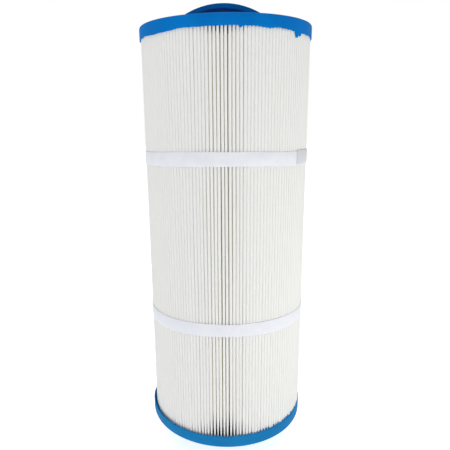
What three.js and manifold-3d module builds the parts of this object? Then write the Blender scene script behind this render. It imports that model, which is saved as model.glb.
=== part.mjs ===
// A pleated spa filter cartridge that stands on end, with +Z up. Units are millimetres.
// The origin is on the cartridge's axis, at the open end of the threaded spigot.
// From the bottom up: spigot, bottom cap, pleated pack round a perforated core, top cap and lifting handle.

import * as THREE from 'three';
import { mergeVertices } from 'three/addons/utils/BufferGeometryUtils.js';
import Module from 'manifold-3d';

// Driving dimensions
const CAP_RADIUS = 68;
const CAPPED_LENGTH = 335;
const SPIGOT_LENGTH = 25.4;
const GAP = 0.3; // kept between pieces that touch on the real cartridge

// End caps, cast in soft urethane round the ends of the pack
const BOTTOM_CAP_HEIGHT = 10;
const TOP_CAP_HEIGHT = 9;
const SKIRT_WALL = 0.7; // round the pleat tips
const BOTTOM_WEB = 5; // closed thickness below the pack
const TOP_WEB = 3; // closed thickness above the pack, under the dish
const RIM_CHAMFER = 0.9;
const DISH_RADIUS = 53;
const DISH_DEPTH = 2.5;
const PLUG_LENGTH = 5; // of the boss that closes the top of the core
const CAP_SEGMENTS = 72;

// Pleated fabric and its seam
const PLEATS = 155;
const FABRIC = 0.35;
const INNER_FOLD_RADIUS = 25;
const SEAM_ANGLE = Math.PI / 2; // at the back
const SEAM_INNER_RADIUS = 27;
const SEAM_OUTER_RADIUS = 40;

// Perforated core
const CORE_WALL = 2.7;
const CORE_SEGMENTS = 36;
const SLOTS_ACROSS = 3; // each cutter makes two slots, one on each side
const SLOT_WIDTH = 7;
const SLOT_HEIGHT = 13;
const SLOT_SPACING = 20;
const SLOT_MARGIN = 19; // from the core's ends to its first and last row of slots

// Threaded spigot
const BORE_RADIUS = 19;
const THREAD_ROOT_RADIUS = 22.55;
const THREAD_CREST_RADIUS = 24.15;
const THREAD_PITCH = 25.4 / 6;
const THREAD_TURNS = 4;
const THREAD_START = 3.5; // height of the first turn's middle
const THREAD_ROOT_WIDTH = 3.1;
const THREAD_CREST_WIDTH = 1.1;
const THREAD_RUN_OUT = 0.3; // turns over which the ridge rises and dies away
const THREAD_LEAST_RISE = 0.1; // share of the ridge's height that is left at its two ends
const THREAD_ROOT_DEPTH = 1; // of the ridge inside the spigot's wall
const NECK_RADIUS = 24.3;
const NECK_LENGTH = 3; // below the bottom cap
const FLANGE_RADIUS = 36;
const FLANGE_THICKNESS = 2.7;
const SLEEVE_RADIUS = 21.5;
const SLEEVE_LENGTH = 11.6; // inside the core
const END_CHAMFER = 1.2;
const SPIGOT_SEGMENTS = 36;

// Support bands
const BAND_HEIGHT = 10.6;
const BAND_THICKNESS = 0.4;
const LAP_THICKNESS = 0.35;
const BAND_SEGMENTS = 72;
const BANDS = [
  { name: 'upper_band', middle: 238, lapAngle: -0.37 },
  { name: 'lower_band', middle: 105.2, lapAngle: 2.2 },
];
const LAP_SPREAD = 0.42; // radians
const LAP_STEPS = 5;

// Lifting handle
const ARCH_RADIUS = 60;
const ARCH_CROWN = 17.4; // above the rim of the top cap
const ARCH_THICKNESS = 4;
const ARCH_STEPS = 24;
const HANDLE_WIDTH = 25.4;
const PAD_LENGTH = 16;
const PAD_THICKNESS = 1.5;
const PAD_OUTER_X = 50;

// Levels that follow from the driving dimensions
const CAP_FLOOR_Z = SPIGOT_LENGTH;
const RIM_Z = CAP_FLOOR_Z + CAPPED_LENGTH;
const BOTTOM_WEB_Z = CAP_FLOOR_Z + BOTTOM_WEB;
const DISH_Z = RIM_Z - DISH_DEPTH;
const TOP_WEB_Z = DISH_Z - TOP_WEB;
const PACK_BOTTOM_Z = BOTTOM_WEB_Z + GAP;
const PACK_LENGTH = TOP_WEB_Z - GAP - PACK_BOTTOM_Z;
const SKIRT_INSIDE_RADIUS = CAP_RADIUS - SKIRT_WALL;
const PLEAT_TIP_RADIUS = SKIRT_INSIDE_RADIUS - GAP;
const CORE_RADIUS = INNER_FOLD_RADIUS - FABRIC / 2 - GAP;
const PLEAT_ANGLE = (2 * Math.PI) / (PLEATS + 1); // one pleat's room is left for the seam
const WALL_ANGLE = PLEAT_ANGLE / 4; // from the middle of a pleat to each of its walls

const wasm = await Module();
wasm.setup();

function solidOf(geometry) {
  const bare = geometry.clone();
  bare.deleteAttribute('normal');
  bare.deleteAttribute('uv');
  const merged = mergeVertices(bare, 1e-4);
  const vertProperties = merged.attributes.position.array;
  const triVerts = new Uint32Array(merged.index.array);
  return new wasm.Manifold(new wasm.Mesh({ numProp: 3, vertProperties, triVerts }));
}

function geometryOf(solid) {
  const { vertProperties, triVerts } = solid.getMesh();
  const geometry = new THREE.BufferGeometry();
  geometry.setAttribute('position', new THREE.BufferAttribute(vertProperties, 3));
  geometry.setIndex(new THREE.BufferAttribute(triVerts, 1));
  geometry.computeVertexNormals();
  return geometry;
}

// Turns a profile of [radius, height] pairs round the Z axis. It runs clockwise, with the radius to the right.
function revolve(profile, segments) {
  const points = profile.map(([radius, height]) => new THREE.Vector2(radius, height)).reverse();
  return new THREE.LatheGeometry(points, segments).rotateX(Math.PI / 2);
}

function extrude(shape, depth) {
  return new THREE.ExtrudeGeometry(shape, { depth, steps: 1, bevelEnabled: false });
}

function polar(radius, angle) {
  return new THREE.Vector2(radius * Math.cos(angle), radius * Math.sin(angle));
}

function arc(radius, start, end, steps) {
  const points = [];
  for (let i = 0; i <= steps; i += 1) {
    points.push(polar(radius, start + ((end - start) * i) / steps));
  }
  return points;
}

function topCap() {
  const body = revolve(
    [
      [0, DISH_Z],
      [DISH_RADIUS, DISH_Z],
      [DISH_RADIUS, RIM_Z],
      [CAP_RADIUS - RIM_CHAMFER, RIM_Z],
      [CAP_RADIUS, RIM_Z - RIM_CHAMFER],
      [CAP_RADIUS, RIM_Z - TOP_CAP_HEIGHT],
      [SKIRT_INSIDE_RADIUS, RIM_Z - TOP_CAP_HEIGHT],
      [SKIRT_INSIDE_RADIUS, TOP_WEB_Z],
      [CORE_RADIUS - CORE_WALL - GAP, TOP_WEB_Z],
      [CORE_RADIUS - CORE_WALL - GAP, TOP_WEB_Z - PLUG_LENGTH],
      [0, TOP_WEB_Z - PLUG_LENGTH],
    ],
    CAP_SEGMENTS,
  );
  return geometryOf(padPockets().reduce((cap, pocket) => cap.subtract(pocket), solidOf(body)));
}

// The shallow recesses in the dish that the handle's pads are set into.
function padPockets() {
  const depth = PAD_THICKNESS + GAP;
  return [-1, 1].map((side) => {
    const pocket = new THREE.BoxGeometry(PAD_LENGTH + 2 * GAP, HANDLE_WIDTH + 2 * GAP, 2 * depth);
    pocket.translate(side * (PAD_OUTER_X - PAD_LENGTH / 2), 0, DISH_Z);
    return solidOf(pocket);
  });
}

function bottomCap() {
  const pocketRadius = FLANGE_RADIUS + GAP;
  const pocketZ = BOTTOM_WEB_Z - FLANGE_THICKNESS - GAP;
  const holeRadius = NECK_RADIUS + GAP;
  return revolve(
    [
      [holeRadius, pocketZ],
      [pocketRadius, pocketZ],
      [pocketRadius, BOTTOM_WEB_Z],
      [SKIRT_INSIDE_RADIUS, BOTTOM_WEB_Z],
      [SKIRT_INSIDE_RADIUS, CAP_FLOOR_Z + BOTTOM_CAP_HEIGHT],
      [CAP_RADIUS, CAP_FLOOR_Z + BOTTOM_CAP_HEIGHT],
      [CAP_RADIUS, CAP_FLOOR_Z + RIM_CHAMFER],
      [CAP_RADIUS - RIM_CHAMFER, CAP_FLOOR_Z],
      [holeRadius, CAP_FLOOR_Z],
      [holeRadius, pocketZ],
    ],
    CAP_SEGMENTS,
  );
}

// One ridge with a trapezoid section, swept up a helix and tapered away at both ends.
function threadRidge() {
  const steps = THREAD_TURNS * SPIGOT_SEGMENTS;
  const buried = THREAD_ROOT_RADIUS - THREAD_ROOT_DEPTH;
  const positions = [];
  const indices = [];
  for (let i = 0; i <= steps; i += 1) {
    const turn = i / SPIGOT_SEGMENTS;
    const rise = Math.min(1, turn / THREAD_RUN_OUT, (THREAD_TURNS - turn) / THREAD_RUN_OUT);
    const height = (THREAD_CREST_RADIUS - THREAD_ROOT_RADIUS) * Math.max(rise, THREAD_LEAST_RISE);
    const crest = THREAD_ROOT_RADIUS + height;
    const z = THREAD_START + turn * THREAD_PITCH;
    const section = [
      [buried, -THREAD_ROOT_WIDTH / 2],
      [crest, -THREAD_CREST_WIDTH / 2],
      [crest, THREAD_CREST_WIDTH / 2],
      [buried, THREAD_ROOT_WIDTH / 2],
    ];
    section.forEach(([radius, dz]) => {
      const { x, y } = polar(radius, 2 * Math.PI * turn);
      positions.push(x, y, z + dz);
    });
  }
  for (let i = 0; i < steps; i += 1) {
    for (let k = 0; k < 4; k += 1) {
      const a = 4 * i + k;
      const b = 4 * i + ((k + 1) % 4);
      indices.push(a, b + 4, b, a, a + 4, b + 4);
    }
  }
  const last = 4 * steps;
  indices.push(0, 1, 2, 0, 2, 3, last, last + 2, last + 1, last, last + 3, last + 2);
  const ridge = new THREE.BufferGeometry();
  ridge.setAttribute('position', new THREE.Float32BufferAttribute(positions, 3));
  return ridge.setIndex(indices);
}

function threadedSpigot() {
  const neckZ = CAP_FLOOR_Z - NECK_LENGTH;
  const flangeZ = BOTTOM_WEB_Z - FLANGE_THICKNESS;
  const body = revolve(
    [
      [BORE_RADIUS, 0],
      [BORE_RADIUS, BOTTOM_WEB_Z + SLEEVE_LENGTH],
      [SLEEVE_RADIUS, BOTTOM_WEB_Z + SLEEVE_LENGTH],
      [SLEEVE_RADIUS, BOTTOM_WEB_Z],
      [FLANGE_RADIUS, BOTTOM_WEB_Z],
      [FLANGE_RADIUS, flangeZ],
      [NECK_RADIUS, flangeZ],
      [NECK_RADIUS, neckZ],
      [THREAD_ROOT_RADIUS, neckZ],
      [THREAD_ROOT_RADIUS, END_CHAMFER],
      [THREAD_ROOT_RADIUS - END_CHAMFER, 0],
      [BORE_RADIUS, 0],
    ],
    SPIGOT_SEGMENTS,
  );
  return geometryOf(solidOf(body).add(solidOf(threadRidge())));
}

// A tube with rows of upright slots, each row turned half a slot's spacing from the last.
function perforatedCore() {
  const inside = CORE_RADIUS - CORE_WALL;
  const tube = revolve(
    [
      [inside, PACK_BOTTOM_Z],
      [inside, PACK_BOTTOM_Z + PACK_LENGTH],
      [CORE_RADIUS, PACK_BOTTOM_Z + PACK_LENGTH],
      [CORE_RADIUS, PACK_BOTTOM_Z],
      [inside, PACK_BOTTOM_Z],
    ],
    CORE_SEGMENTS,
  );
  let core = solidOf(tube);
  const throughBothWalls = 3 * CORE_RADIUS;
  const rows = Math.floor((PACK_LENGTH - 2 * SLOT_MARGIN) / SLOT_SPACING);
  for (let row = 0; row < rows; row += 1) {
    const z = PACK_BOTTOM_Z + PACK_LENGTH / 2 + (row - (rows - 1) / 2) * SLOT_SPACING;
    for (let column = 0; column < SLOTS_ACROSS; column += 1) {
      const cutter = new THREE.BoxGeometry(throughBothWalls, SLOT_WIDTH, SLOT_HEIGHT);
      cutter.rotateZ(((column + (row % 2) / 2) * Math.PI) / SLOTS_ACROSS);
      core = core.subtract(solidOf(cutter.translate(0, 0, z)));
    }
  }
  return geometryOf(core);
}

// The fabric's centre line, folded out and back once for each pleat, from one free edge to the other.
function foldedLine() {
  const tip = PLEAT_TIP_RADIUS - FABRIC / 2;
  const line = [];
  for (let i = 0; i < PLEATS; i += 1) {
    const middle = SEAM_ANGLE + (i + 1) * PLEAT_ANGLE;
    const before = middle - WALL_ANGLE;
    const after = middle + WALL_ANGLE;
    line.push(polar(INNER_FOLD_RADIUS, before), polar(tip, before));
    line.push(polar(tip, after), polar(INNER_FOLD_RADIUS, after));
  }
  return line;
}

// A line moved sideways by a distance, with mitred corners.
function offsetLine(line, distance) {
  const normals = line.slice(1).map((point, i) => {
    const along = point.clone().sub(line[i]).normalize();
    return new THREE.Vector2(along.y, -along.x);
  });
  return line.map((point, i) => {
    const before = normals[Math.max(i - 1, 0)];
    const after = normals[Math.min(i, normals.length - 1)];
    const mitre = before.clone().add(after).divideScalar(1 + before.dot(after));
    return point.clone().addScaledVector(mitre, distance);
  });
}

function pleatedMedia() {
  const line = foldedLine();
  const outside = offsetLine(line, FABRIC / 2);
  const inside = offsetLine(line, -FABRIC / 2).reverse();
  const strip = new THREE.Shape([...outside, ...inside]);
  return extrude(strip, PACK_LENGTH).translate(0, 0, PACK_BOTTOM_Z);
}

// The adhesive bead between the fabric's two end walls.
function sideSeam() {
  const halfAngle = PLEAT_ANGLE - WALL_ANGLE;
  const corners = [SEAM_INNER_RADIUS, SEAM_OUTER_RADIUS].map((radius) => ({
    along: radius * Math.cos(halfAngle),
    aside: radius * Math.sin(halfAngle) - FABRIC / 2 - GAP,
  }));
  const [inner, outer] = corners;
  const section = new THREE.Shape([
    new THREE.Vector2(inner.along, -inner.aside),
    new THREE.Vector2(outer.along, -outer.aside),
    new THREE.Vector2(outer.along, outer.aside),
    new THREE.Vector2(inner.along, inner.aside),
  ]);
  return extrude(section, PACK_LENGTH).rotateZ(SEAM_ANGLE).translate(0, 0, PACK_BOTTOM_Z);
}

// A ring with a second layer over a short stretch, where the strip's ends are welded together.
function band({ middle, lapAngle }) {
  const inside = PLEAT_TIP_RADIUS + GAP;
  const outside = inside + BAND_THICKNESS;
  const lapStart = lapAngle - LAP_SPREAD / 2;
  const lapEnd = lapAngle + LAP_SPREAD / 2;
  const ring = new THREE.Shape([
    ...arc(outside + LAP_THICKNESS, lapStart, lapEnd, LAP_STEPS),
    ...arc(outside, lapEnd, lapStart + 2 * Math.PI, BAND_SEGMENTS - LAP_STEPS),
  ]);
  ring.holes.push(new THREE.Path(arc(inside, lapStart, lapStart + 2 * Math.PI, BAND_SEGMENTS).slice(1)));
  return extrude(ring, BAND_HEIGHT).translate(0, 0, CAP_FLOOR_Z + middle - BAND_HEIGHT / 2);
}

// One edge of the arch in X and Z, cut off level with the dish.
function archEdge(radius) {
  const centreZ = RIM_Z + ARCH_CROWN - ARCH_RADIUS;
  const foot = Math.asin((DISH_Z - centreZ) / radius);
  const points = arc(radius, foot, Math.PI - foot, ARCH_STEPS);
  return points.map(({ x, y }) => new THREE.Vector2(x, y + centreZ));
}

// A pad's corners in X and Z, from its outer top corner round to its inner one.
function padCorners(side) {
  const outerX = side * PAD_OUTER_X;
  const innerX = side * (PAD_OUTER_X - PAD_LENGTH);
  const bottomZ = DISH_Z - PAD_THICKNESS;
  return [
    new THREE.Vector2(outerX, DISH_Z),
    new THREE.Vector2(outerX, bottomZ),
    new THREE.Vector2(innerX, bottomZ),
    new THREE.Vector2(innerX, DISH_Z),
  ];
}

// A flat strap bent to an arc, with a pad at each foot, drawn in X and Z and extruded along Y.
function liftingHandle() {
  const outline = new THREE.Shape([
    ...archEdge(ARCH_RADIUS),
    ...padCorners(-1),
    ...archEdge(ARCH_RADIUS - ARCH_THICKNESS).reverse(),
    ...padCorners(1).reverse(),
  ]);
  return extrude(outline, HANDLE_WIDTH).rotateX(Math.PI / 2).translate(0, HANDLE_WIDTH / 2, 0);
}

const capBlue = new THREE.MeshStandardMaterial({ color: 0x0a70c4, roughness: 0.45, metalness: 0 });
const handleBlue = new THREE.MeshStandardMaterial({ color: 0x0b2f6b, roughness: 0.4, metalness: 0 });
const mediaWhite = new THREE.MeshStandardMaterial({ color: 0xf2f1ec, roughness: 0.9, metalness: 0 });
const bandWhite = new THREE.MeshStandardMaterial({ color: 0xe9ebf3, roughness: 0.6, metalness: 0 });
const coreWhite = new THREE.MeshStandardMaterial({ color: 0xe4e4df, roughness: 0.5, metalness: 0 });
const beadAmber = new THREE.MeshStandardMaterial({ color: 0xe6dfc8, roughness: 0.4, metalness: 0 });

const cartridge = new THREE.Group();

function place(name, geometry, material) {
  const mesh = new THREE.Mesh(geometry, material);
  mesh.name = name;
  cartridge.add(mesh);
}

place('threaded_spigot', threadedSpigot(), capBlue);
place('bottom_end_cap', bottomCap(), capBlue);
place('center_core', perforatedCore(), coreWhite);
place('pleated_media', pleatedMedia(), mediaWhite);
place('side_seam', sideSeam(), beadAmber);
BANDS.forEach((spec) => place(spec.name, band(spec), bandWhite));
place('top_end_cap', topCap(), capBlue);
place('lifting_handle', liftingHandle(), handleBlue);

export default cartridge;
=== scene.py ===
"""The looks of a pleated spa filter cartridge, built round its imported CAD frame. Metres, +Z up."""

import math

import bmesh
import bpy
import numpy as np
from mathutils import Matrix, Vector


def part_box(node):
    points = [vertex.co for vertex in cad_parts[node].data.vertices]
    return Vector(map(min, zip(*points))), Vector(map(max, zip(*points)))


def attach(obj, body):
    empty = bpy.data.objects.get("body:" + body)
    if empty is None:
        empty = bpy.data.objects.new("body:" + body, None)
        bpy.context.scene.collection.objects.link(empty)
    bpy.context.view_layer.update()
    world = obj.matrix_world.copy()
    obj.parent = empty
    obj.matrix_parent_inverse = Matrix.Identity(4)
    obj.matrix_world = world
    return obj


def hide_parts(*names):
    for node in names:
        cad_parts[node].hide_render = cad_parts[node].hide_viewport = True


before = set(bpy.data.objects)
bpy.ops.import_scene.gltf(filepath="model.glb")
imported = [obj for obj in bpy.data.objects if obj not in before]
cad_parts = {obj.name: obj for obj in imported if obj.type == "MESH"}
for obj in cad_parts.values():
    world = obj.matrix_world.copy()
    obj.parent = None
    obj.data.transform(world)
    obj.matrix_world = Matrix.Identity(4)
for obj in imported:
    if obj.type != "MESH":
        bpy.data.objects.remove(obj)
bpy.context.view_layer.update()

MM = 0.001
TAU = 2 * math.pi
FRONT = -math.pi / 2

# Camera, placed from the middle of the bottom cap's underside
CAMERA_X = -1.34 * MM
CAMERA_DISTANCE = 409.3 * MM
CAMERA_HEIGHT = 270.7 * MM
CAMERA_PITCH = 0.2498
CAMERA_ROLL = -0.0059
FOCAL_SHARE = 1.0611  # focal length as a share of the picture's width
CAMERA_SHIFT = 0.0198
CAMERA_NEAREST = 10 * MM

# Pleated fabric
PLEATS = 155
PLEAT_ANGLE = TAU / (PLEATS + 1)  # one pleat's room is left for the side seam
SEAM_ANGLE = math.pi / 2
FABRIC = 0.4 * MM
INNER_FOLD_RADIUS = 25 * MM
TIP_HALF_WIDTH = 1.25 * MM  # of the centre line, at the outer fold
TIP_RISE = 0.1 * MM  # how far the outer fold's round tip stands out from its shoulders
OPEN_TIP_RISE = 0.24 * MM  # how much further it stands out where the pleats stand open
TIP_SQUARENESS = 0.25  # from 1, where the tip is an ellipse, to 0, where it is a box
TIP_INSET = 0.05 * MM
TIP_PINCH = 0.2  # how much narrower the folds are where the urethane holds their ends
PINCH_REACH = 10 * MM
TOP_HOLD = 0.3  # how far and how hard the top cap pinches the pleats, as a share of the bottom cap
VALLEY_DEPTH = 3.6 * MM  # where the walls of neighbouring pleats meet
LEAN_CURVE = 3  # power of the way out from the inner fold by which a tip leans
WALL_GAP = 0.03 * MM  # between swollen walls and the plane midway to the next pleat
SWELL_START = 3 * MM  # above the urethane, where the walls start to lean on each other
SWELL_END = 15 * MM
SEAM_LEAN = 1.3 * MM  # how far the tips beside the seam lean over the room of the missing pleat
SEAM_LEAN_SHARE = 0.75  # how far the next tip leans, as a share of the last one
WAIST = 0.6  # where the walls' middle point is, as a share of the way from the inner fold to the valleys
LEVELS = 29
LEVEL_CROWDING = 0.65  # how much closer the levels are at the ends than in the middle, from 0 to 1

# How uneven the pleats are
LONG_WAVES = (150 * MM, 400 * MM)  # height that one wave takes, at least and at most
MIDDLE_WAVES = (100 * MM, 300 * MM)
SHORT_WAVES = (100 * MM, 250 * MM)
LEAN_WAVE = 0.16 * MM  # how far a tip wanders to each side over its height
LEAN_SPREAD = 0.1 * MM  # how far it stands off its place as a whole
WIDTH_WAVE = 0.04  # as a share of the width
WIDTH_SPREAD = 0.05
CLOSED_SPREAD = 0.2  # of the spread in width, what is left where the pleats are closed
DEPTH_WAVE = 0.25  # as a share of the depth
DEPTH_RANGE = (0.5, 1.4)  # of an open valley's extra depth
PINCH_RANGE = (0.7, 1.1)
SWELL_WAVE = 0.05
BAND_GRIP = (16 * MM, 0.6)  # how far and how firmly a band holds the pleats in place
CAP_GRIP = (14 * MM, 0.8)

OPENING = 0.27  # how much narrower the folds are where the pleats stand open
OPENING_DEPTH = 1.6 * MM  # how much deeper the valleys are there, on average
OPENING_PINCH = 0.5  # how much narrower still the folds' ends are in the middle of such a place
OPENING_SWELL = 0.15  # how much less the walls lean on each other there

# Where the pleats stand open: angle from the front, half width and strength
OPEN_PLEATS = (
    (-0.05, 0.32, 1.0),
    (1.35, 0.2, 0.4),
    (-1.6, 0.3, 0.7),
    (2.7, 0.25, 0.8),
)

# Moulded core and the adhesive in the seam
CORE_WALL = 2.7 * MM
CORE_EDGE = 0.5 * MM
CORE_PROFILE_START = 5 * MM  # above the tube's lower end
CORE_SEGMENTS = 96
SHARP_ANGLE = math.radians(35)
SLOTS_ROUND = 6
SLOT_WIDTH = 7 * MM
SLOT_HEIGHT = 13 * MM
SLOT_CORNER = 2 * MM
CORNER_STEPS = 4
SLOT_SPACING = 20 * MM
SLOT_MARGIN = 19 * MM  # from the core's ends to its first and last row of slots
CUTTER_EXCESS = 3 * MM  # on both sides of the wall
BEAD_LEVELS = 120
BEAD_STEPS = 8  # round its front
BEAD_SHARE = 0.6  # of a pleat's angle that the bead fills to each side
BEAD_GAP = 0.3 * MM
BEAD_WAVES = ((0.35 * MM, 9 * MM, 0), (0.2 * MM, 3.7 * MM, 1))  # size, height of one radian and phase

# Cast urethane end caps
CAP_SEGMENTS = 6 * (PLEATS + 1)  # a whole number for each pleat, for the tongues between them
SKIRT_WALL = 0.9 * MM
TOP_CAP_HEIGHT = 9 * MM
POTTING_DEPTH = 0.9 * MM  # from the skirt's free edge to the urethane between the pleats
EDGE_FILLET = 2.2 * MM
TOP_TONGUES = -0.7 * MM  # how far the urethane is drawn out into the gaps between the pleats at most
BOTTOM_TONGUES = 3.8 * MM
TONGUE_RANGE = (0.3, 1)  # of each tongue's length, as a share of the longest
TONGUE_REACH = 1.5 * MM  # from the skirt's free edge, over which it follows the tongues
SOAK_AND_SHADE_REACH = (10 * MM, 26 * MM)  # how far the urethane crept into the fabric of the valleys, and the painted shade with it, at least and at most
LIP = 0.3 * MM  # round the skirt's free edge
SKIRT_DRAFT = 0.2 * MM  # how much closer to the pleats the skirt is where it leaves the urethane
EDGE_ZONE = 3 * MM  # of the skirt, that follows its free edge
NEAR_WALL = 1 * MM
NEAR_POTTING = 0.35 * MM
CHANNEL_WIDTH = 6 * MM  # of the ring between the pleats' tips and the flat urethane further in
DISH_RADIUS = 53 * MM
DISH_RING = 20 * MM  # of flat floor beside the dish's side
DISH_DEPTH = 2.5 * MM
DISH_SLOPE = 0.5 * MM  # how much wider the dish is at the rim
DISH_FILLET = 1.4 * MM
RIM_FILLET = 0.9 * MM
PLUG_GAP = 3 * MM  # between the core's outside and the plug that closes it
PLUG_FILLET = 0.5 * MM
SPIGOT_HOLE_FILLET = 0.8 * MM
HOLE_PROFILE_START = 2 * MM  # above the bottom cap's underside
SPIGOT_HOLE_RADIUS = 24.4 * MM
BOTTOM_CAP_OFFSET = -1.05 * MM
BOTTOM_CAP_SPREAD = 0.5 * MM
SPREAD_START = 0.6  # share of the radius from which the cap is spread and off its place
BOTTOM_RING = 12 * MM  # of flat underside beside the cap's side
BOTTOM_CAP_TILT = -0.013
CREVICE_DEPTH = 2.4 * MM  # how much lower the urethane is at -X, where the skirt stands off the pleats
TOP_CAP_TILT = 0.0075
TOP_EDGE_SADDLE = 0.85 * MM  # how much its free edge rises at the front and back and sinks at the sides
TOP_EDGE_WAVES = ((5, 0.12 * MM), (11, 0.1 * MM), (23, 0.09 * MM), (41, 0.07 * MM))
BOTTOM_EDGE_WAVES = ((3, 0.12 * MM), (7, 0.1 * MM), (19, 0.1 * MM), (37, 0.08 * MM))

# Drips on the top cap's free edge: angle from the front, drop and half width
DRIPS = (
    (math.radians(-46), 0.9 * MM, 16 * MM),
    (math.radians(8.4), 1.3 * MM, 1.4 * MM),
    (math.radians(24.5), 0.7 * MM, 4.5 * MM),
    (math.radians(48.6), 4.2 * MM, 1.7 * MM),
    (math.radians(51.8), 2.8 * MM, 1.9 * MM),
    (math.radians(-118), 1.3 * MM, 2.2 * MM),
    (math.radians(150), 1.8 * MM, 1.5 * MM),
)

# Support bands
STRIP = 0.3 * MM
STRIP_CLEARANCE = 0.05 * MM
COLUMNS_A_PLEAT = 4
LAP_SPREAD = 0.42  # radians for which the strip lies double
LAP_CLIMB = 0.06  # radians over which the strip climbs onto its other end
LAP_SLOPE = 0.25  # radians over which the strip's end moves up or down to lie where it is welded
BAND_SADDLE = 3 * MM  # how much lower the strips run at the sides than at the front and back
BAND_WAVES = ((3, 0.1 * MM), (7, 0.08 * MM))
STRIP_EDGE = 0.1 * MM
STRIP_WAVES = ((5, 0.012), (13, 0.01))  # of the strip's width
STRIP_BULGE = ((17, 0.04 * MM),)
PLEAT_PRINT = 0.02 * MM  # how far the pleat tips show through the strip

# Where each strip's free end lies, from the front, and how much higher it is than the other end
BANDS = {
    "upper_band": (0.93, 0.9 * MM),
    "lower_band": (2.6, -0.5 * MM),
}

# Lifting handle
ARCH_RADIUS = 60 * MM
ARCH_THICKNESS = 4 * MM
PAD_OUTER_X = 50 * MM
PAD_INNER_X = 34 * MM
PAD_RISE = 0.2 * MM  # above the dish
ARCH_STEPS = 48
HANDLE_BEVEL = 0.9 * MM
BEVEL_STEPS = 4
BEVEL_ANGLE = math.radians(40)
HANDLE_OFFSET = -1.5 * MM  # it was cast in slightly to one side
HANDLE_SINK = 0.9 * MM

# Threaded spigot
BORE_RADIUS = 19 * MM
THREAD_ROOT_RADIUS = 22.55 * MM
THREAD_CREST_RADIUS = 24.15 * MM
THREAD_PITCH = 25.4 * MM / 6
THREAD_TURNS = 4
THREAD_START = 3.5 * MM
THREAD_FOOT = 1.45 * MM  # from the ridge's middle to its foot
THREAD_FLANK = 0.95 * MM
THREAD_RUN_IN = 1.4 * MM  # height over which the ridge rises below its first turn
THREAD_RUN_OUT = 1.8 * MM
THREAD_STEP = 0.2 * MM
SPIGOT_SEGMENTS = 192
SPIGOT_EDGE = 0.4 * MM
END_CHAMFER = 1.2 * MM
BORE_FILLET = 0.8 * MM
NECK_RADIUS = 24.3 * MM
NECK_LENGTH = 3 * MM
FLANGE_RADIUS = 36 * MM
FLANGE_LEVELS = (2.3 * MM, 5 * MM)  # of its two faces above the bottom cap's underside
SLEEVE_RADIUS = 21.5 * MM

# Colours, linear. Where there are two, the surface wanders between them
TIP_WHITE = (0.966, 0.966, 0.945)
# painted shade: a warmer, darker cream deep in the valleys, for the warmer, dimmer light between the pleats
VALLEY_PAINTED_WARM_SHADE = (0.955, 0.94, 0.72)
CLOUD_WHITE = (0.93, 0.93, 0.935)
DOT_WHITE = (0.945, 0.945, 0.947)
# partly the urethane that crept into the fabric, partly painted shade: near-black navy for the shade deep in
# the valleys beside the caps
SOAK_AND_SHADE_NAVY = (0.0, 0.025, 0.1)
STRIP_WHITES = ((0.82, 0.835, 0.89), (0.87, 0.88, 0.92))
# painted shade: the strip is greyer where it lies double over its other end
DOUBLE_STRIP_PAINTED_SHADE = (0.69, 0.7, 0.74)
STRIP_GLOW = (0.86, 0.88, 0.93, 1)
TOP_CAP_BLUES = ((0.0, 0.135, 0.45), (0.0, 0.16, 0.51))
# painted light: the bottom cap is the top cap's urethane, given more teal blues as by the warm light from
# below
BOTTOM_CAP_PAINTED_LIGHT_BLUES = ((0.005, 0.158, 0.39), (0.01, 0.185, 0.445))
PINHOLE_PAINTED_SHADE = 0.75  # painted shade in a pinhole, as a share of the darker blue
# painted shade: the handle is given a darker blue than the caps, for the shade on its arch
HANDLE_PAINTED_SHADE_BLUES = ((0.002, 0.088, 0.28), (0.003, 0.108, 0.34))
SPIGOT_BLUES = ((0.008, 0.09, 0.33), (0.012, 0.12, 0.4))
CORE_WHITES = ((0.78, 0.78, 0.76), (0.85, 0.85, 0.83))
GLUE_CREAMS = ((0.74, 0.67, 0.5), (0.8, 0.74, 0.58))
FLOOR_GREY = (0.8, 0.8, 0.8, 1)
WHITE = (1, 1, 1, 1)

# Surface patterns, in features to the metre
FIBRES = 5200
FABRIC_CLOUD = 420
MELTED_DOTS = 620
SOAK_AND_SHADE_CHANGES = 45
STRIP_CLOUD = 160
STRIP_LINES = 300
URETHANE_CLOUD = 45
URETHANE_GRAIN = 1100
PINHOLES = 95
FLOW_MARKS = 70
PLASTIC_GRAIN = 1800
NOISE_RANGE = (0.3, 0.7)  # in which most of a noise pattern's values lie

# How much of the light that falls on thin fabric comes through to its other side
FABRIC_GLOW_THROUGH = 0.3
STRIP_GLOW_THROUGH = 0.2

# Studio
WORLD_LIGHT = 0.62  # what the white surroundings give, beside what the camera sees of them
FLOOR_GLOW = 0.72
FLOOR_SIZE = 8
FLOOR_SQUARES = 8
LIGHT_BOUNCES = 24  # light gets about between the white pleats by many bounces
LIGHT_AIM = Vector((0, 0, 0.2))

# Area lights: place, size, power and colour
LIGHTS = {
    "key": ((0.23, -0.16, 0.14), 0.14, 0.1, (1, 1, 0.88)),
    "fill": ((-0.42, -0.74, 0.04), 0.6, 0.66, (0.96, 0.96, 1)),
    "top": ((0, -0.1, 1.5), 1.4, 6, (1, 1, 1)),
}

random = np.random.default_rng(7)


# ------------------------------------------------------------------ mesh helpers


def mesh_object(name, vertices, faces):
    mesh = bpy.data.meshes.new(name)
    mesh.from_pydata(np.asarray(vertices, float).tolist(), [], faces)
    mesh.update()
    mesh.shade_smooth()
    piece = bpy.data.objects.new(name, mesh)
    bpy.context.scene.collection.objects.link(piece)
    return piece


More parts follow.
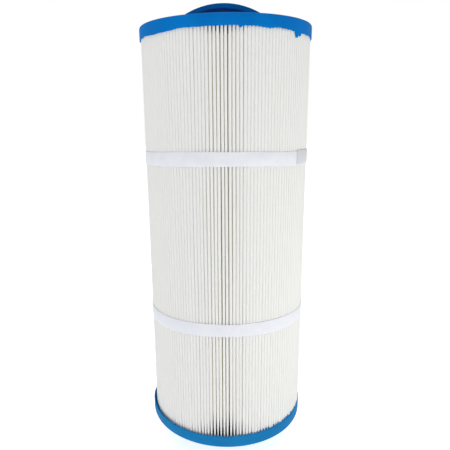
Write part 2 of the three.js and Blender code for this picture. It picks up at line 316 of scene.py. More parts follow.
def grid_faces(rows, columns, close_rows=False, close_columns=True):
    """Quads over a grid of vertices that is stored row by row."""
    faces = []
    for i in range(rows if close_rows else rows - 1):
        a, b = i * columns, ((i + 1) % rows) * columns
        for j in range(columns if close_columns else columns - 1):
            k = (j + 1) % columns
            faces.append((a + j, a + k, b + k, b + j))
    return faces


def weld(piece, distance=1e-7):
    """Merges vertices that meet, and turns the faces outwards."""
    shape = bmesh.new()
    shape.from_mesh(piece.data)
    bmesh.ops.remove_doubles(shape, verts=shape.verts, dist=distance)
    bmesh.ops.recalc_face_normals(shape, faces=shape.faces)
    shape.to_mesh(piece.data)
    shape.free()


def apply_modifiers(piece):
    graph = bpy.context.evaluated_depsgraph_get()
    piece.data = bpy.data.meshes.new_from_object(piece.evaluated_get(graph))
    piece.modifiers.clear()


def profile(*corners, steps=5):
    """A profile through (radius, height, fillet) corners, with each fillet drawn as a curve."""
    points = []
    last = len(corners) - 1
    for i, (r, z, fillet) in enumerate(corners):
        here = Vector((r, z))
        if not fillet or i in (0, last):
            points.append(here)
            continue
        before = Vector(corners[i - 1][:2]) - here
        after = Vector(corners[i + 1][:2]) - here
        start = here + before.normalized() * min(fillet, before.length / 2)
        end = here + after.normalized() * min(fillet, after.length / 2)
        for t in np.linspace(0, 1, steps + 1):
            points.append(start * (1 - t) ** 2 + here * 2 * t * (1 - t) + end * t**2)
    return np.array([tuple(p) for p in points])


def revolve(name, points, segments, bend=None, close=False):
    """Turns (radius, height) points round Z. bend(angles, radii, heights) may move the surface."""
    angles = np.arange(segments) * TAU / segments
    radii = np.repeat(points[:, :1], segments, axis=1)
    heights = np.repeat(points[:, 1:], segments, axis=1)
    if bend:
        radii, heights = bend(angles, radii, heights)
    vertices = np.stack([radii * np.cos(angles), radii * np.sin(angles), heights], -1)
    piece = mesh_object(name, vertices.reshape(-1, 3), grid_faces(len(points), segments, close))
    weld(piece)
    return piece


def ripple(angles, *sizes):
    """A sum of waves round the part, each (waves in a turn, size), with random phases."""
    return sum(size * np.sin(count * angles + random.uniform(0, TAU)) for count, size in sizes)


def turned(angles, place):
    """How far each angle is past a place, from -pi to pi."""
    return (angles - place + math.pi) % TAU - math.pi


def smooth_step(value):
    value = np.clip(value, 0, 1)
    return value * value * (3 - 2 * value)


# ------------------------------------------------------------------ pleated fabric


def pleat_waves(heights, lengths, shared=0):
    """Smooth random curves over height, one for each pleat, partly shared with its neighbours."""
    length = random.uniform(*lengths, (PLEATS, 1))
    own = np.sin(TAU * (heights / length + random.uniform(0, 1, (PLEATS, 1))))
    kernel = np.exp(-(np.linspace(-2, 2, 9) ** 2))
    wrapped = np.concatenate([own[-4:], own, own[:4]])
    common = np.stack([np.convolve(level, kernel / kernel.sum(), "valid") for level in wrapped.T], -1)
    return (1 - shared) * own + 2 * shared * common


def grip(heights):
    """How free the pleats are at each height: the bands and the caps hold them in place."""
    free = np.ones(len(heights))
    for node, (reach, strength) in (
        ("upper_band", BAND_GRIP),
        ("lower_band", BAND_GRIP),
        ("top_end_cap", CAP_GRIP),
        ("bottom_end_cap", CAP_GRIP),
    ):
        low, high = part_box(node)
        free *= 1 - strength * np.exp(-(((heights - (low.z + high.z) / 2) / reach) ** 2))
    return free


def from_ends(heights):
    """How far each height is from the nearest end cap's edge. The top cap's hold counts as shorter."""
    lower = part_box("bottom_end_cap")[1].z
    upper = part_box("top_end_cap")[1].z - TOP_CAP_HEIGHT
    return np.maximum(np.minimum(heights - lower, (upper - heights) / TOP_HOLD), 0)


def swelling(heights, start, end):
    """How much the pleats' walls lean on each other: not at all where the urethane holds their ends."""
    return smooth_step((from_ends(heights) - start) / (end - start))


def openness(places):
    """How open the pleats stand at each angle, from 0 to 1."""
    return sum(
        strength * np.exp(-((turned(places, FRONT + place) / half_width) ** 2))
        for place, half_width, strength in OPEN_PLEATS
    )


def neighbour_room(middles):
    """Half the angle from each pleat to the one before it and to the one after it."""
    between = np.diff(middles, axis=0) / 2
    end = np.full_like(middles[:1], PLEAT_ANGLE / 2)
    return np.concatenate([end, between]), np.concatenate([between, end])


def lean_to_seam():
    """How far each pleat's tip leans along the turn, to close the room of the missing pleat."""
    lean = SEAM_LEAN * SEAM_LEAN_SHARE ** np.arange(PLEATS)
    return (lean[::-1] - lean)[:, None]


def pleat_section(middles, half_widths, tips, rise, bellies, swell):
    """The fabric's centre line through every pleat, as (level, point, XY).

    swell goes from 0, where the walls are straight, to 1, where they lean on the next pleat's walls.
    """
    fold = INNER_FOLD_RADIUS * math.sin(PLEAT_ANGLE / 4)
    shoulders = tips - rise
    waists = (1 - WAIST) * INNER_FOLD_RADIUS + WAIST * bellies
    halves = []
    for side, room in zip((-1, 1), neighbour_room(middles)):
        reach = np.minimum(half_widths, shoulders * room - FABRIC / 2 - WALL_GAP)
        half = []
        for radii in (np.full_like(tips, INNER_FOLD_RADIUS), waists, bellies):
            share = (radii - INNER_FOLD_RADIUS) / (shoulders - INNER_FOLD_RADIUS)
            straight = fold + (reach - fold) * share
            full = radii * room - FABRIC / 2 - WALL_GAP
            half.append((side * (straight + (full - straight) * swell), radii))
        for turn in (0, math.pi / 4):
            half.append((side * reach * math.cos(turn) ** TIP_SQUARENESS, shoulders + rise * math.sin(turn)))
        halves.append(half)
    points = halves[0] + [(np.zeros_like(tips), tips)] + halves[1][::-1]
    across, out = (np.stack(values) for values in zip(*points))
    across = across + lean_to_seam() * ((out - INNER_FOLD_RADIUS) / (tips - INNER_FOLD_RADIUS)) ** LEAN_CURVE
    x = out * np.cos(middles) - across * np.sin(middles)
    y = out * np.sin(middles) + across * np.cos(middles)
    by_level = np.stack([x, y], -1).transpose(2, 1, 0, 3)
    return by_level.reshape(len(by_level), -1, 2)


def pleat_middles(heights, free, radius):
    """Each pleat's place as an angle, and the angle of its tip at each height."""
    lean = pleat_waves(heights, LONG_WAVES, shared=0.5) * free * LEAN_WAVE
    lean = lean + random.normal(0, LEAN_SPREAD, (PLEATS, 1))
    places = SEAM_ANGLE + (np.arange(PLEATS)[:, None] + 1) * PLEAT_ANGLE
    return places, places + lean / radius


def fold_widths(heights, opened):
    """Half the width of each outer fold at each height, before the caps pinch it."""
    half_widths = TIP_HALF_WIDTH * (1 + WIDTH_WAVE * pleat_waves(heights, LONG_WAVES) * opened)
    spread = random.normal(0, WIDTH_SPREAD, (PLEATS, 1))
    half_widths = half_widths * (1 + spread * (CLOSED_SPREAD + (1 - CLOSED_SPREAD) * opened))
    return half_widths * (1 - OPENING * opened)


def valley_depths(heights, opened):
    """How deep each valley is at each height, down to where the walls meet."""
    depths = VALLEY_DEPTH * (1 + DEPTH_WAVE * pleat_waves(heights, LONG_WAVES))
    return depths + opened * OPENING_DEPTH * random.uniform(*DEPTH_RANGE, (PLEATS, 1))


def pinch_at_ends(heights, opened):
    """What is left of each fold's width where the urethane holds the pleats' ends."""
    pinch = (TIP_PINCH + OPENING_PINCH * opened**2) * random.uniform(*PINCH_RANGE, (PLEATS, 1))
    pinch = pinch * np.where(heights > heights.mean(), TOP_HOLD, 1)
    return 1 - pinch * np.exp(-((from_ends(heights) / PINCH_REACH) ** 2))


def wall_swell(heights, opened):
    """How much each pleat's walls lean on their neighbours, from 0 to 1."""
    swell = swelling(heights, SWELL_START * (1 + opened), SWELL_END * (1 + opened))
    uneven = 1 - SWELL_WAVE + SWELL_WAVE * pleat_waves(heights, MIDDLE_WAVES)
    return swell * uneven * (1 - OPENING_SWELL * opened)


def pleated_fabric():
    low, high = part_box("pleated_media")
    tip_radius = (high.x - low.x) / 2
    share = np.linspace(0, 1, LEVELS)
    heights = low.z + (high.z - low.z) * (share - LEVEL_CROWDING * np.sin(TAU * share) / TAU)
    free = grip(heights)
    places, middles = pleat_middles(heights, free, tip_radius)
    opened = openness(places)
    half_widths = fold_widths(heights, opened)
    tips = tip_radius - TIP_INSET * (1 + pleat_waves(heights, SHORT_WAVES, shared=0.3) * free)
    bellies = tips - valley_depths(heights, opened)
    half_widths = half_widths * pinch_at_ends(heights, opened)
    swell = wall_swell(heights, opened)
    rise = TIP_RISE + OPEN_TIP_RISE * opened
    line = pleat_section(middles, half_widths, tips - FABRIC / 2, rise, bellies, swell)
    return fabric_solid(line, heights, tip_radius)


def fabric_solid(line, heights, tip_radius):
    """Gives the centre line its thickness and height, and keeps each point's place on the flat sheet."""
    tangent = np.gradient(line, axis=1)
    tangent /= np.linalg.norm(tangent, axis=-1, keepdims=True)
    normal = np.stack([tangent[..., 1], -tangent[..., 0]], -1)
    faces = [line + normal * FABRIC / 2, (line - normal * FABRIC / 2)[:, ::-1]]
    points = np.concatenate(faces, axis=1)
    levels, count = points.shape[:2]
    z = np.broadcast_to(heights[:, None], (levels, count))
    quads = grid_faces(levels, count)
    for base, order in ((0, -1), ((levels - 1) * count, 1)):
        for j in range(count // 2 - 1):
            quads.append((base + j, base + j + 1, base + count - 2 - j, base + count - 1 - j)[::order])
    vertices = np.concatenate([points, z[..., None]], -1).reshape(-1, 3)
    piece = mesh_object("pleated_fabric", vertices, quads)
    steps = np.linalg.norm(np.diff(line[0], axis=0), axis=1)
    along = np.concatenate([[0], np.cumsum(steps)])
    flat = np.broadcast_to(np.concatenate([along, along[::-1]]), (levels, count))
    radius = np.linalg.norm(points, axis=-1)
    depth = np.clip((tip_radius - radius) / (tip_radius - INNER_FOLD_RADIUS), 0, 1)
    attribute = piece.data.attributes.new("flat", "FLOAT_VECTOR", "POINT")
    attribute.data.foreach_set("vector", np.stack([flat, z, depth], -1).astype(np.float32).ravel())
    weld(piece)
    return piece


# ------------------------------------------------------------------ core and seam


def core():
    """A moulded tube with rows of upright slots that have round corners."""
    low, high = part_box("center_core")
    outside = (high.x - low.x) / 2
    inside = outside - CORE_WALL
    section = profile(
        (inside, low.z + CORE_PROFILE_START, 0),
        (inside, low.z, CORE_EDGE),
        (outside, low.z, CORE_EDGE),
        (outside, high.z, CORE_EDGE),
        (inside, high.z, CORE_EDGE),
        (inside, low.z + CORE_PROFILE_START, 0),
        steps=2,
    )[:-1]
    tube = revolve("core_tube", section, CORE_SEGMENTS, close=True)
    cutters = slot_cutters(low.z, high.z, inside, outside)
    cut = tube.modifiers.new("slots", "BOOLEAN")
    cut.object = cutters
    cut.solver = "EXACT"
    apply_modifiers(tube)
    bpy.data.objects.remove(cutters)
    tube.data.shade_smooth()
    tube.data.set_sharp_from_angle(angle=SHARP_ANGLE)
    return tube


def slot_outline():
    """A slot with round corners, as (across, up) points."""
    outline = []
    for right, top, start in ((1, 1, 0), (-1, 1, 1), (-1, -1, 2), (1, -1, 3)):
        for turn in np.linspace(start, start + 1, CORNER_STEPS + 1) * math.pi / 2:
            across = right * (SLOT_WIDTH / 2 - SLOT_CORNER) + SLOT_CORNER * math.cos(turn)
            up = top * (SLOT_HEIGHT / 2 - SLOT_CORNER) + SLOT_CORNER * math.sin(turn)
            outline.append((across, up))
    return outline


def slot_cutters(low, high, inside, outside):
    """Prisms through the core's wall, in rows that are half a slot's spacing out of step."""
    rows = int((high - low - 2 * SLOT_MARGIN) / SLOT_SPACING)
    outline = slot_outline()
    count = len(outline)
    vertices, faces = [], []
    for row in range(rows):
        z = (low + high) / 2 + (row - (rows - 1) / 2) * SLOT_SPACING
        for column in range(SLOTS_ROUND):
            angle = (column + (row % 2) / 2) * TAU / SLOTS_ROUND
            c, s = math.cos(angle), math.sin(angle)
            base = len(vertices)
            for radius in (inside - CUTTER_EXCESS, outside + CUTTER_EXCESS):
                vertices += [(radius * c - a * s, radius * s + a * c, z + up) for a, up in outline]
            ring = [base + k for k in range(count)]
            faces += [tuple(ring[::-1]), tuple(k + count for k in ring)]
            for k, following in zip(ring, ring[1:] + ring[:1]):
                faces.append((k, following, following + count, k + count))
    cutters = mesh_object("slot_cutters", vertices, faces)
    weld(cutters)
    return cutters


def seam_bead():
    """Adhesive that was squeezed between the fabric's two end walls, with a slightly uneven front."""
    low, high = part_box("side_seam")
    heights = np.linspace(low.z, high.z, BEAD_LEVELS)
    inner, outer = low.y, high.y
    spread = math.sin(PLEAT_ANGLE * BEAD_SHARE)
    rows = []
    swell = sum(size * np.sin(heights / radian + phase) for size, radian, phase in BEAD_WAVES)
    for z, extra in zip(heights, swell):
        wide = (outer + extra) * spread - BEAD_GAP
        thin = inner * spread - BEAD_GAP
        back = outer + extra - wide
        turns = np.linspace(0, math.pi, BEAD_STEPS + 1)
        nose = [(wide * math.cos(t), back + wide * math.sin(t), z) for t in turns]
        rows.append([(thin, inner, z), *nose, (-thin, inner, z)])
    count = len(rows[0])
    faces = grid_faces(len(rows), count)
    faces += [tuple(range(count)), tuple((len(rows) - 1) * count + k for k in range(count))]
    bead = mesh_object("seam_bead_glue", np.array(rows).reshape(-1, 3), faces)
    weld(bead)
    return bead


# ------------------------------------------------------------------ support bands


def band(node, free_end, lap_rise):
    """A strip that goes once round the pleats and climbs over its own other end, up to its free end."""
    low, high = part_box(node)
    middle, half = (low.z + high.z) / 2, (high.z - low.z) / 2
    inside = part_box("pleated_media")[1].x + STRIP_CLEARANCE
    columns = int(COLUMNS_A_PLEAT * (PLEATS + 1) * (1 + LAP_SPREAD / TAU))
    past_turn = np.linspace(-TAU, LAP_SPREAD, columns)  # how far past one whole turn the strip has gone
    angles = free_end + LAP_SPREAD - past_turn
    section = profile(
        (0, 0, 0),
        (0, -half, STRIP_EDGE),
        (STRIP, -half, STRIP_EDGE),
        (STRIP, half, STRIP_EDGE),
        (0, half, STRIP_EDGE),
        (0, 0, 0),
        steps=2,
    )[:-1]
    climb = smooth_step(past_turn / LAP_CLIMB + 1) * (STRIP + STRIP_CLEARANCE)
    bulge = PLEAT_PRINT * np.cos((PLEATS + 1) * (angles - SEAM_ANGLE)) + ripple(angles, *STRIP_BULGE)
    rise = lap_rise * smooth_step(past_turn / LAP_SLOPE + 1)
    rise = rise - BAND_SADDLE * np.sin(angles - FRONT) ** 2 + ripple(angles, *BAND_WAVES)
    radii = inside + climb + bulge + section[:, :1]
    heights = middle + rise + section[:, 1:] * (1 + ripple(angles, *STRIP_WAVES))
    vertices = np.stack([radii * np.cos(angles), radii * np.sin(angles), heights], -1)
    rows = len(section)
    faces = grid_faces(rows, columns, close_rows=True, close_columns=False)
    faces += [tuple(i * columns for i in range(rows)), tuple((i + 1) * columns - 1 for i in range(rows))]
    piece = mesh_object(node + "_strip", vertices.reshape(-1, 3), faces)
    attribute = piece.data.attributes.new("double", "FLOAT", "POINT")
    double = np.broadcast_to(past_turn > -LAP_CLIMB, radii.shape)
    attribute.data.foreach_set("value", double.astype(np.float32).ravel())
    weld(piece)
    return piece


# ------------------------------------------------------------------ end caps


def uneven_edge(angles, radii, heights, edge, wall_inside, wave, tongues):
    """Lets the skirt's free edge wander, and draws it out into the gaps between the pleats."""
    near = np.exp(-(((heights - edge) / TONGUE_REACH) ** 2)) * (radii > wall_inside - NEAR_WALL)
    gaps = (angles - SEAM_ANGLE) / PLEAT_ANGLE
    peaks = random.uniform(*TONGUE_RANGE, PLEATS + 1)[np.floor(gaps).astype(int) % (PLEATS + 1)]
    touching = smooth_step(0.5 + 0.6 * np.cos(angles))  # the skirt lies closer to the pleats at +X
    tongue = tongues * peaks * touching * np.cos(math.pi * (gaps % 1 - 0.5)) ** 2
    return heights + near * (wave + tongue)


def top_cap():
    low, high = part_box("top_end_cap")
    radius = (high.x - low.x) / 2
    edge = high.z - TOP_CAP_HEIGHT
    dish = high.z - DISH_DEPTH
    potting = edge + POTTING_DEPTH
    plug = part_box("center_core")[1].x - PLUG_GAP
    wall = radius - SKIRT_WALL
    points = profile(
        (0, dish, 0),
        (DISH_RADIUS - DISH_RING, dish, 0),
        (DISH_RADIUS, dish, DISH_FILLET),
        (DISH_RADIUS + DISH_SLOPE, high.z, RIM_FILLET),
        (radius, high.z, EDGE_FILLET),
        (radius, edge + EDGE_ZONE, 0),
        (radius, edge, LIP),
        (wall, edge, LIP),
        (wall - SKIRT_DRAFT, potting, LIP),
        (wall - CHANNEL_WIDTH, potting, 0),
        (plug, potting, 0),
        (plug, low.z, PLUG_FILLET),
        (0, low.z, 0),
    )

    def bend(angles, radii, heights):
        wave = TOP_EDGE_SADDLE * np.cos(2 * (angles - FRONT))
        wave = wave + ripple(angles, *TOP_EDGE_WAVES)
        for place, drop, width in DRIPS:
            away = turned(angles, FRONT + place) * radius
            wave = wave - drop * np.exp(-((away / width) ** 4))
        heights = uneven_edge(angles, radii, heights, edge, wall, wave, TOP_TONGUES)
        return radii, heights + TOP_CAP_TILT * radii * np.cos(angles)

    return revolve("top_cap_casting", points, CAP_SEGMENTS, bend)


def bottom_cap():
    low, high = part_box("bottom_end_cap")
    radius = (high.x - low.x) / 2
    edge = high.z
    potting = edge - POTTING_DEPTH
    wall = radius - SKIRT_WALL
    points = profile(
        (SPIGOT_HOLE_RADIUS, low.z + HOLE_PROFILE_START, 0),
        (SPIGOT_HOLE_RADIUS, low.z, SPIGOT_HOLE_FILLET),
        (radius - BOTTOM_RING, low.z, 0),
        (radius, low.z, EDGE_FILLET),
        (radius, edge - EDGE_ZONE, 0),
        (radius, edge, LIP),
        (wall, edge, LIP),
        (wall - SKIRT_DRAFT, potting, LIP),
        (wall - CHANNEL_WIDTH, potting, 0),
        (SPIGOT_HOLE_RADIUS, potting, 0),
        (SPIGOT_HOLE_RADIUS, low.z + HOLE_PROFILE_START, 0),
    )[:-1]

    def bend(angles, radii, heights):
        wave = ripple(angles, *BOTTOM_EDGE_WAVES)
        outwards = smooth_step((radii / radius - SPREAD_START) / (1 - SPREAD_START))
        trough = (np.abs(radii - wall) < NEAR_WALL) & (np.abs(heights - potting) < NEAR_POTTING)
        heights = heights - CREVICE_DEPTH * trough * smooth_step(-np.cos(angles))
        heights = uneven_edge(angles, radii, heights, edge, wall, wave, BOTTOM_TONGUES)
        radii = radii + (BOTTOM_CAP_SPREAD + BOTTOM_CAP_OFFSET * np.cos(angles)) * outwards
        return radii, heights + BOTTOM_CAP_TILT * radii * np.cos(angles)

    return revolve("bottom_cap_casting", points, CAP_SEGMENTS, bend, close=True)


# ------------------------------------------------------------------ handle


def handle():
    low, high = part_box("lifting_handle")
    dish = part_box("top_end_cap")[1].z - DISH_DEPTH
    centre = high.z - HANDLE_SINK - ARCH_RADIUS

    def arch(radius):
        foot = math.asin((dish - centre) / radius)
        turns = np.linspace(foot, math.pi - foot, ARCH_STEPS + 1)
        return [(radius * math.cos(t), centre + radius * math.sin(t)) for t in turns]

    def pad(side):
        xs = (PAD_OUTER_X, PAD_OUTER_X, PAD_INNER_X, PAD_INNER_X)
        zs = (dish + PAD_RISE, low.z, low.z, dish + PAD_RISE)
        return [(side * x, z) for x, z in zip(xs, zs)]

    outline = arch(ARCH_RADIUS) + pad(-1) + arch(ARCH_RADIUS - ARCH_THICKNESS)[::-1] + pad(1)[::-1]
    half = (high.y - low.y) / 2
    count = len(outline)
    vertices = [(x + HANDLE_OFFSET, side * half, z) for side in (-1, 1) for x, z in outline]
    faces = [tuple(range(count)), tuple(range(2 * count - 1, count - 1, -1))]
    faces += [(i, i + count, (i + 1) % count + count, (i + 1) % count) for i in range(count)]
    piece = mesh_object("handle_moulding", vertices, faces)
    weld(piece)
    bevel = piece.modifiers.new("edges", "BEVEL")
    bevel.width = HANDLE_BEVEL
    bevel.segments = BEVEL_STEPS
    bevel.limit_method = "ANGLE"
    bevel.angle_limit = BEVEL_ANGLE
    apply_modifiers(piece)
    piece.data.shade_smooth()
    return piece


# ------------------------------------------------------------------ spigot


def spigot():
    low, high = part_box("threaded_spigot")
    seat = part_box("bottom_end_cap")[0].z
    neck = seat - NECK_LENGTH
    flange_low, flange_high = (seat + level for level in FLANGE_LEVELS)
    end = profile(
        (BORE_RADIUS, high.z, 0),
        (BORE_RADIUS, 0, BORE_FILLET),
        (THREAD_ROOT_RADIUS - END_CHAMFER, 0, SPIGOT_EDGE),
        (THREAD_ROOT_RADIUS, END_CHAMFER, 0),
    )
    heights = np.arange(END_CHAMFER + THREAD_STEP, neck, THREAD_STEP)
    threaded = np.stack([np.full_like(heights, THREAD_ROOT_RADIUS), heights], -1)
    body = profile(
        (THREAD_ROOT_RADIUS, neck, 0),
        (NECK_RADIUS, neck, SPIGOT_EDGE),
        (NECK_RADIUS, flange_low, 0),
        (FLANGE_RADIUS, flange_low, 0),
        (FLANGE_RADIUS, flange_high, 0),
        (SLEEVE_RADIUS, flange_high, 0),
        (SLEEVE_RADIUS, high.z, SPIGOT_EDGE),
        (BORE_RADIUS, high.z, 0),
    )[:-1]

    def bend(angles, radii, heights):
        turn = (heights - THREAD_START) / THREAD_PITCH - angles / TAU
        from_crest = np.abs((turn + 0.5) % 1 - 0.5) * THREAD_PITCH
        ridge = smooth_step((THREAD_FOOT - from_crest) / THREAD_FLANK)
        upper = THREAD_START + THREAD_TURNS * THREAD_PITCH
        ridge = ridge * smooth_step((heights - THREAD_START) / THREAD_RUN_IN + 1)
        ridge = ridge * smooth_step((upper - heights) / THREAD_RUN_OUT)
        threaded = np.abs(radii - THREAD_ROOT_RADIUS) < 1e-6
        return radii + np.where(threaded, ridge * (THREAD_CREST_RADIUS - THREAD_ROOT_RADIUS), 0), heights

    points = np.concatenate([end, threaded, body])
    return revolve("spigot_moulding", points, SPIGOT_SEGMENTS, bend, close=True)


# ------------------------------------------------------------------ materials


class Shader:
    """A new material, with short calls for the nodes that feed its Principled shader."""

    def __init__(self, name, roughness, specular):
        self.material = bpy.data.materials.new(name)
        self.material.use_nodes = True
        self.tree = self.material.node_tree
        self.principled = self.tree.nodes["Principled BSDF"]
        self.principled.inputs["Roughness"].default_value = roughness
        self.principled.inputs["Specular IOR Level"].default_value = specular

    def node(self, kind, **settings):
        made = self.tree.nodes.new("ShaderNode" + kind)
        for name, value in settings.items():
            setattr(made, name, value)
        return made

    def feed(self, value, socket):
        if isinstance(value, bpy.types.NodeSocket):
            self.tree.links.new(value, socket)
        else:
            socket.default_value = value

    def set(self, name, value):
        self.feed(value, self.principled.inputs[name])

    def place(self):
        return self.node("TexCoord").outputs["Object"]

    def attribute(self, name, output="Vector"):
        return self.node("Attribute", attribute_name=name).outputs[output]

    def noise(self, place, scale, detail=3):
        made = self.node("TexNoise")
        self.feed(place, made.inputs["Vector"])
        self.feed(scale, made.inputs["Scale"])
        self.feed(detail, made.inputs["Detail"])
        return made.outputs["Fac"]

    def dots(self, place, scale, randomness, dimensions="3D"):
        """How far each point is from the nearest dot of a loose grid."""
        made = self.node("TexVoronoi", voronoi_dimensions=dimensions)
        self.feed(place, made.inputs["Vector"])
        self.feed(scale, made.inputs["Scale"])
        self.feed(randomness, made.inputs["Randomness"])
        return made.outputs["Distance"]

    def moved(self, place, scale=(1, 1, 1), turn=0):
        made = self.node("Mapping")
        self.feed(place, made.inputs["Vector"])
        made.inputs["Scale"].default_value = scale
        made.inputs["Rotation"].default_value = (0, 0, turn)
        return made.outputs["Vector"]

    def remap(self, value, low, high, to_low=0.0, to_high=1.0):
        made = self.node("MapRange", interpolation_type="SMOOTHSTEP")
        self.feed(value, made.inputs["Value"])
        self.feed(low, made.inputs["From Min"])
        self.feed(high, made.inputs["From Max"])
        self.feed(to_low, made.inputs["To Min"])
        self.feed(to_high, made.inputs["To Max"])
        return made.outputs["Result"]

    def blend(self, share, a, b, kind="MIX"):
        made = self.node("Mix", data_type="RGBA", blend_type=kind)
        sockets = {socket.identifier: socket for socket in made.inputs}
        self.feed(share, sockets["Factor_Float"])
        self.feed(a if isinstance(a, bpy.types.NodeSocket) else (*a, 1), sockets["A_Color"])
        self.feed(b if isinstance(b, bpy.types.NodeSocket) else (*b, 1), sockets["B_Color"])
        return next(socket for socket in made.outputs if socket.identifier == "Result_Color")

    def math(self, operation, *values):
        made = self.node("Math", operation=operation)
        for value, socket in zip(values, made.inputs):
            self.feed(value, socket)
        return made.outputs["Value"]

    def sum(self, a, b, share):
        return self.math("MULTIPLY_ADD", b, share, a)

    def parts(self, vector):
        made = self.node("SeparateXYZ")
        self.feed(vector, made.inputs["Vector"])
        return made.outputs

    def bump(self, height, depth, strength=1.0):
        made = self.node("Bump")
        self.feed(height, made.inputs["Height"])
        self.feed(depth, made.inputs["Distance"])
        self.feed(strength, made.inputs["Strength"])
        self.set("Normal", made.outputs["Normal"])
        return made.outputs["Normal"]

    def glow_through(self, colour, share, normal):
        """Mixes in light that comes through from behind, as thin fabric passes it."""
        behind = self.node("BsdfTranslucent")
        self.feed(colour, behind.inputs["Color"])
        self.feed(normal, behind.inputs["Normal"])
        both = self.node("MixShader")
        self.feed(share, both.inputs["Fac"])
        self.feed(self.principled.outputs["BSDF"], both.inputs[1])
        self.feed(behind.outputs["BSDF"], both.inputs[2])
        self.feed(both.outputs["Shader"], self.tree.nodes["Material Output"].inputs["Surface"])


def fabric_material():
    """Spunbond polyester: a mat of fibres with rows of small melted dots."""
    shader = Shader("spunbond_polyester", roughness=0.85, specular=0.25)
    flat = shader.attribute("flat")
    _, height, depth = shader.parts(flat)
    fibres = shader.noise(shader.moved(flat, (1, 0.35, 0)), FIBRES, 4)
    cloud = shader.noise(shader.moved(flat, (1, 1, 0)), FABRIC_CLOUD, 4)
    diagonal = shader.moved(flat, (1, 1, 0), math.pi / 4)
    dots = shader.remap(shader.dots(diagonal, MELTED_DOTS, 0.15, "2D"), 0.2, 0.42)
    # painted shade: from the tips' white to a warmer cream deeper down the valleys
    tone = shader.blend(shader.remap(depth, 0.01, 0.05), TIP_WHITE, VALLEY_PAINTED_WARM_SHADE)
    tone = shader.blend(shader.remap(cloud, 0.35, 0.7, 0.0, 0.6), tone, CLOUD_WHITE)
    tone = shader.blend(dots, DOT_WHITE, tone)
    # painted shade near the caps, over the urethane that crept into the valleys
    tone = shader.blend(soak_and_painted_shade(shader, flat, height, depth), tone, SOAK_AND_SHADE_NAVY)
    shader.set("Base Color", tone)
    relief = shader.sum(shader.sum(fibres, dots, 0.35), cloud, 0.8)
    normal = shader.bump(relief, 0.06 * MM, 0.6)
    shader.glow_through(tone, FABRIC_GLOW_THROUGH, normal)
    return shader.material


def soak_and_painted_shade(shader, flat, height, depth):
    """Where the urethane crept along the valleys when the caps were cast, a different way in each, painted
    near-black as the shade deep between the pleats beside the caps.
    """
    least, most = SOAK_AND_SHADE_REACH
    changes = shader.noise(shader.moved(flat, (1, 0, 0)), SOAK_AND_SHADE_CHANGES, 1)
    reach = shader.remap(changes, 0.35, 0.65, least, most)
    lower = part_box("bottom_end_cap")[1].z
    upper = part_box("top_end_cap")[1].z - TOP_CAP_HEIGHT
    from_low = shader.sum(-lower, height, 1)
    from_high = shader.sum(upper, height, -1)
    near_low = shader.remap(shader.math("DIVIDE", from_low, reach), 1, 0.4)
    near_high = shader.remap(shader.math("DIVIDE", from_high, reach), 0.2, 0.05)
    in_valley = shader.remap(depth, 0.018, 0.036)
    return shader.math("MULTIPLY", shader.math("MAXIMUM", near_low, near_high), in_valley)


def strip_material():
    """The bands: the same polyester, pressed smooth, with fine stretch lines along them."""
    shader = Shader("pressed_polyester", roughness=0.5, specular=0.35)
    place = shader.place()
    cloud = shader.noise(place, STRIP_CLOUD, 4)
    lines = shader.noise(shader.moved(place, (1, 1, 14)), STRIP_LINES, 3)
    single = shader.blend(shader.remap(cloud, *NOISE_RANGE), *STRIP_WHITES)
    # painted shade where the strip lies double
    shader.set("Base Color", shader.blend(shader.attribute("double", "Fac"), single, DOUBLE_STRIP_PAINTED_SHADE))
    shader.set("Roughness", shader.remap(cloud, *NOISE_RANGE, 0.42, 0.58))
    normal = shader.bump(shader.sum(lines, cloud, 0.6), 0.05 * MM, 0.6)
    shader.glow_through(STRIP_GLOW, STRIP_GLOW_THROUGH, normal)
    return shader.material


def urethane_material(name, dark, light):
    """Cast urethane: even colour, satin, with a few pinholes left by bubbles, darkened with painted shade.
    """
    shader = Shader(name, roughness=0.6, specular=0.04)
    place = shader.place()
    cloud = shader.noise(place, URETHANE_CLOUD, 4)
    grain = shader.noise(place, URETHANE_GRAIN, 4)
    holes = shader.remap(shader.dots(place, PINHOLES, 1.0), 0.035, 0.075)
    colour = shader.blend(shader.remap(cloud, *NOISE_RANGE), dark, light)
    # painted shade in the pinholes
    shader.set("Base Color", shader.blend(holes, [PINHOLE_PAINTED_SHADE * part for part in dark], colour))
    shader.set("Roughness", shader.remap(cloud, *NOISE_RANGE, 0.52, 0.68))
    shader.bump(shader.sum(shader.sum(cloud, grain, 0.12), holes, 0.8), 0.3 * MM, 0.5)
    return shader.material


def moulded_plastic(name, dark, light, roughness, specular=0.35):
    """Rigid moulding: faint flow marks, fine texture and rubbed gloss."""
    shader = Shader(name, roughness, specular)
    place = shader.place()
    flow = shader.noise(shader.moved(place, (1, 1, 0.4)), FLOW_MARKS, 4)
    grain = shader.noise(place, PLASTIC_GRAIN, 3)
    shader.set("Base Color", shader.blend(shader.remap(flow, *NOISE_RANGE), dark, light))
    shader.set("Roughness", shader.remap(flow, *NOISE_RANGE, roughness - 0.07, roughness + 0.07))
    shader.bump(shader.sum(flow, grain, 0.1), 0.12 * MM, 0.4)
    return shader.material


# ------------------------------------------------------------------ studio


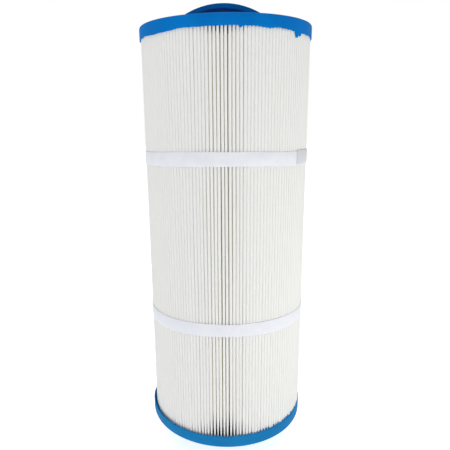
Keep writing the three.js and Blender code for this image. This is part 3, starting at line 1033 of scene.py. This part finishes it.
def camera():
    forward = Vector((0, math.cos(CAMERA_PITCH), -math.sin(CAMERA_PITCH)))
    level = Vector((1, 0, 0))
    upright = level.cross(forward)
    c, s = math.cos(CAMERA_ROLL), math.sin(CAMERA_ROLL)
    right, up = level * c + upright * s, upright * c - level * s
    data = bpy.data.cameras.new("camera")
    data.lens = FOCAL_SHARE * data.sensor_width
    data.shift_y = CAMERA_SHIFT
    data.clip_start = CAMERA_NEAREST
    eye = bpy.data.objects.new("camera", data)
    place = Vector((CAMERA_X, -CAMERA_DISTANCE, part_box("bottom_end_cap")[0].z + CAMERA_HEIGHT))
    eye.matrix_world = Matrix.Translation(place) @ Matrix((right, up, -forward)).transposed().to_4x4()
    bpy.context.scene.collection.objects.link(eye)
    bpy.context.scene.camera = eye


def area_light(name, place, size, power, colour):
    data = bpy.data.lights.new(name, "AREA")
    data.size = size
    data.energy = power
    data.color = colour
    light = bpy.data.objects.new(name, data)
    light.location = place
    light.rotation_euler = (LIGHT_AIM - Vector(place)).to_track_quat("-Z", "Y").to_euler()
    light.visible_camera = False
    bpy.context.scene.collection.objects.link(light)


def studio():
    world = bpy.data.worlds.new("studio")
    world.use_nodes = True
    tree = world.node_tree
    background = tree.nodes["Background"]
    background.inputs["Color"].default_value = WHITE
    seen = tree.nodes.new("ShaderNodeLightPath").outputs["Is Camera Ray"]
    strength = tree.nodes.new("ShaderNodeMapRange")
    strength.inputs["To Min"].default_value = WORLD_LIGHT
    tree.links.new(seen, strength.inputs["Value"])
    tree.links.new(strength.outputs["Result"], background.inputs["Strength"])
    bpy.context.scene.world = world
    for name, settings in LIGHTS.items():
        area_light(name, *settings)
    bpy.ops.mesh.primitive_grid_add(
        x_subdivisions=FLOOR_SQUARES, y_subdivisions=FLOOR_SQUARES, size=FLOOR_SIZE
    )
    floor = bpy.context.object
    floor.name = "floor"
    floor.data.materials.append(floor_material())
    bpy.context.scene.view_settings.view_transform = "Standard"
    bpy.context.scene.cycles.max_bounces = LIGHT_BOUNCES
    bpy.context.scene.cycles.diffuse_bounces = LIGHT_BOUNCES
    bpy.context.scene.cycles.transmission_bounces = LIGHT_BOUNCES


def floor_material():
    shader = Shader("pale_floor", roughness=0.8, specular=0.1)
    shader.set("Base Color", FLOOR_GREY)
    shader.set("Emission Color", WHITE)
    shader.set("Emission Strength", FLOOR_GLOW)
    return shader.material


# ------------------------------------------------------------------ assembly


def settle(piece, slot, material, *nodes):
    """Gives a piece its material, hangs it on the root body and hides the CAD parts that it stands for."""
    piece.data.materials.clear()
    piece.data.materials.append(material)
    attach(piece, "root")
    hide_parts(*nodes)


camera()
studio()

settle(pleated_fabric(), "filter_fabric", fabric_material(), "pleated_media")
strip = strip_material()
for node, (free_end, lap_rise) in BANDS.items():
    settle(band(node, FRONT + free_end, lap_rise), "band_fabric", strip, node)
top_blue = urethane_material("top_cast_urethane", *TOP_CAP_BLUES)
settle(top_cap(), "cap_urethane", top_blue, "top_end_cap")
# the same urethane as the top cap, with painted light
bottom_painted_light_blue = urethane_material("bottom_urethane_painted_light", *BOTTOM_CAP_PAINTED_LIGHT_BLUES)
settle(bottom_cap(), "cap_urethane", bottom_painted_light_blue, "bottom_end_cap")
# darker blue as painted shade
handle_painted_shade_blue = moulded_plastic("handle_plastic", *HANDLE_PAINTED_SHADE_BLUES, 0.55, 0.02)
settle(handle(), "handle_plastic", handle_painted_shade_blue, "lifting_handle")
spigot_blue = moulded_plastic("spigot_plastic", *SPIGOT_BLUES, 0.35)
settle(spigot(), "spigot_plastic", spigot_blue, "threaded_spigot")
core_white = moulded_plastic("core_plastic", *CORE_WHITES, 0.4)
settle(core(), "core_plastic", core_white, "center_core")
adhesive = moulded_plastic("hot_melt", *GLUE_CREAMS, 0.3)
settle(seam_bead(), "seam_adhesive", adhesive, "side_seam")
